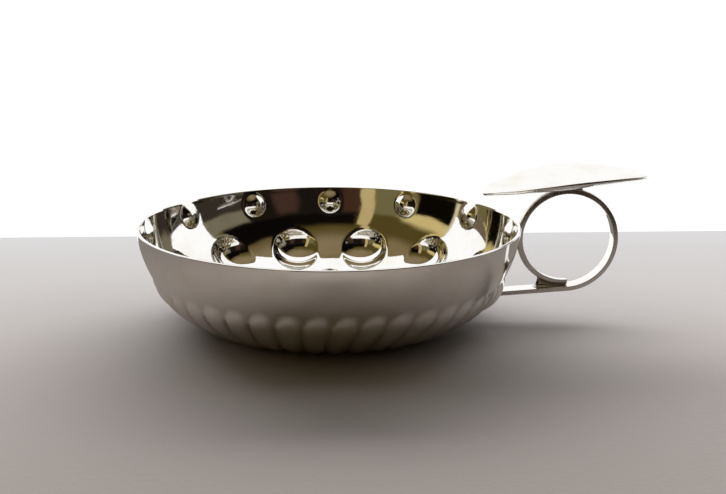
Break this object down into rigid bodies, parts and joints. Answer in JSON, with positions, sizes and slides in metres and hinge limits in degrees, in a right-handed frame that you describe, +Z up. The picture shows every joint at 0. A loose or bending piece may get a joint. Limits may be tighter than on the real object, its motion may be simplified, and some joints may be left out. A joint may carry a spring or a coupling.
{
  "type": "tastevin",
  "caption": "Shallow silver wine-tasting cup with hollows, raised beads and slanting gadroons in its wall, a finger ring at one side and a leaf-shaped thumb rest above the ring.",
  "frame": {"origin": "the middle of the whole cup's length and width, in the plane of its flat base; the bowl's own axis stands 14.3 mm toward -X", "axes": "+Z up out of the bowl, +X from the bowl toward the finger ring, Y along the finger that goes through the ring"},
  "size_m": [0.1126, 0.084, 0.0332],
  "materials": {
    "polished_silver": "polished silver with fine scratches and light tarnish",
    "silver_solder": "satin silver solder, slightly darker than the sheet"
  },
  "bodies": {
    "root": {"bowl": "polished_silver", "handle_strap": "polished_silver", "thumb_rest": "polished_silver", "solder_ring_to_wall": "silver_solder", "solder_tail_to_wall": "silver_solder", "solder_ring_lap": "silver_solder", "solder_rest_inner": "silver_solder", "solder_rest_outer": "silver_solder"}
  },
  "joints": []
}
